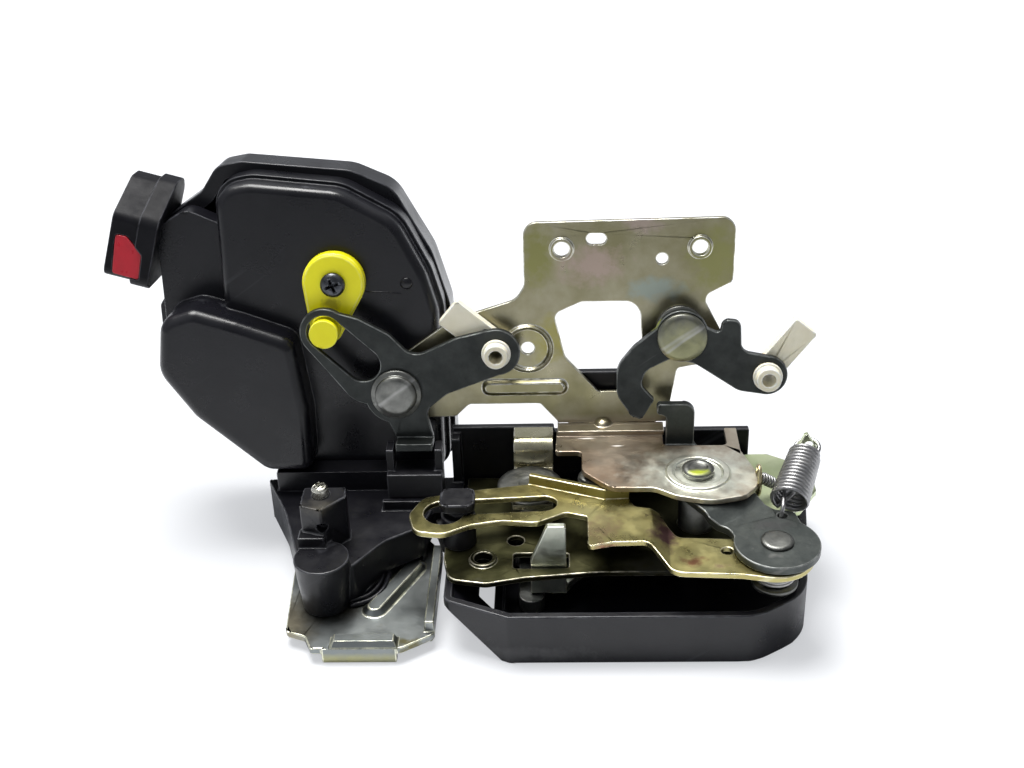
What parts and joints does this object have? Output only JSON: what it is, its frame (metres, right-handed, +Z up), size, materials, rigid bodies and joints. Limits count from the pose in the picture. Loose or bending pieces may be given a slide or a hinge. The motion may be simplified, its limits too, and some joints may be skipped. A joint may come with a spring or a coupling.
{
  "type": "door latch actuator",
  "caption": "Car door latch with rotary claw, release levers, rod clips, folded mounting bracket and geared central-locking motor unit.",
  "frame": {"origin": "on the case's flat underside, under the middle of the mechanism, on the table", "axes": "+X along the case away from the motor unit, +Z up, -Y towards the open side of the mechanism"},
  "size_m": [0.1961, 0.1025, 0.1033],
  "materials": {
    "black_plastic": "satin black moulding",
    "face_zinc": "bluish zinc plate",
    "yellow_zinc": "yellow chromated zinc plate",
    "steel": "plain steel, formed head",
    "bumper": "moulded rubber",
    "spring_wire": "drawn wire",
    "motor_can": "zinc plated can",
    "contact": "bright",
    "red_plastic": "moulded",
    "phosphate": "dark phosphate",
    "white_plastic": "natural nylon",
    "yellow_plastic": "moulded",
    "black_steel": "black",
    "gear_plastic": "natural acetal"
  },
  "bodies": {
    "frame": {"latch_case": "black_plastic", "stop_pin": "steel", "face_plate": "face_zinc", "base_plate": "yellow_zinc", "mounting_bracket": "yellow_zinc", "back_plate": "yellow_zinc", "claw_pivot": "steel", "claw_strap": "yellow_zinc", "pawl_pivot": "steel", "mouth_bumper": "bumper", "release_pivot": "steel", "guide_knob": "black_plastic", "spring_anchor": "yellow_zinc", "release_spring": "spring_wire", "lock_pivot": "steel", "handle_pivot": "steel", "handle_spring": "spring_wire", "idler_pin": "steel", "motor": "motor_can", "front_shell": "black_plastic", "rear_shell": "black_plastic", "shell_screws": "steel", "plug_socket": "black_plastic", "socket_pins": "contact", "lock_wedge": "red_plastic"},
    "claw": {"claw": "phosphate"},
    "pawl": {"pawl": "face_zinc"},
    "release": {"release_lever": "phosphate", "link_rivet": "steel", "link_spring": "spring_wire"},
    "link": {"link": "yellow_zinc"},
    "lock_lever": {"lock_lever": "phosphate"},
    "lock_slider": {"lock_slider": "black_plastic"},
    "handle_lever": {"handle_lever": "phosphate"},
    "lock_rod_clip": {"lock_rod_clip": "white_plastic"},
    "handle_rod_clip": {"handle_rod_clip": "white_plastic"},
    "output": {"output_lever": "yellow_plastic", "output_screw": "black_steel", "output_shaft": "gear_plastic"},
    "idler": {"idler_gear": "gear_plastic"},
    "pinion": {"motor_pinion": "contact"}
  },
  "joints": [
    {"name": "release_lever_turn", "type": "hinge", "parent": "frame", "child": "release", "pos_m": [0.0205, 0.01, 0.03], "axis": [0, 0, 1], "range_deg": [-18, 0], "stiffness_Nm_per_rad": 0.15, "springref_deg": 14.32, "deforming": ["release_spring"]},
    {"name": "claw_turn", "type": "hinge", "parent": "frame", "child": "claw", "pos_m": [-0.0247, 0.016, 0.0052], "axis": [0, 0, 1], "range_deg": [-46, 0], "stiffness_Nm_per_rad": 0.05, "springref_deg": 17.19},
    {"name": "link_swing", "type": "hinge", "parent": "release", "child": "link", "pos_m": [0.0385, -0.0155, 0.0255], "axis": [0, 0, 1], "range_deg": [0, 15.3]},
    {"name": "pawl_turn", "type": "hinge", "parent": "frame", "child": "pawl", "pos_m": [-0.0076, 0.015, 0.0065], "axis": [0, 0, 1], "range_deg": [-10, 0]},
    {"name": "handle_lever_turn", "type": "hinge", "parent": "frame", "child": "handle_lever", "pos_m": [0.017, 0.03244, 0.06272], "axis": [0, -0.9848, 0.1736], "range_deg": [0, 14.5]},
    {"name": "output_lever_turn", "type": "hinge", "parent": "frame", "child": "output", "pos_m": [-0.0776, 0.04155, 0.07584], "axis": [0, -0.9848, 0.1736], "range_deg": [0, 30]},
    {"name": "lock_lever_turn", "type": "hinge", "parent": "frame", "child": "lock_lever", "pos_m": [-0.0613, 0.03088, 0.04695], "axis": [0, -0.9848, 0.1736], "range_deg": [-12.1, 0]},
    {"name": "lock_slide", "type": "slide", "parent": "frame", "child": "lock_slider", "axis": [1, 0, 0], "range_m": [-0.0034, 0]},
    {"name": "idler_turn", "type": "hinge", "parent": "frame", "child": "idler", "pos_m": [-0.09245, 0.05867, 0.05774], "axis": [0, -0.9848, 0.1736], "range_deg": [-75.1, 0]},
    {"name": "pinion_spin", "type": "hinge", "parent": "frame", "child": "pinion", "pos_m": [-0.10518, 0.05843, 0.04486], "axis": [0, -0.9848, 0.1736], "range_deg": [0, 300.1]},
    {"name": "lock_clip_turn", "type": "hinge", "parent": "lock_lever", "child": "lock_rod_clip", "pos_m": [-0.0334, 0.03335, 0.0581], "axis": [0, -0.9848, 0.1736], "range_deg": [-20, 20]},
    {"name": "handle_clip_turn", "type": "hinge", "parent": "handle_lever", "child": "handle_rod_clip", "pos_m": [0.0403, 0.03111, 0.05118], "axis": [0, -0.9848, 0.1736], "range_deg": [-20, 20]}
  ],
  "couplings": [
    {"joint": "link_swing", "follows": "release_lever_turn", "ratio": -0.848},
    {"joint": "pawl_turn", "follows": "release_lever_turn", "ratio": 0.555},
    {"joint": "handle_lever_turn", "follows": "release_lever_turn", "ratio": -0.805},
    {"joint": "lock_lever_turn", "follows": "output_lever_turn", "ratio": -0.4},
    {"joint": "lock_slide", "follows": "output_lever_turn", "m_per_rad": -0.0056},
    {"joint": "idler_turn", "follows": "output_lever_turn", "ratio": -2.5},
    {"joint": "pinion_spin", "follows": "output_lever_turn", "ratio": 10}
  ]
}
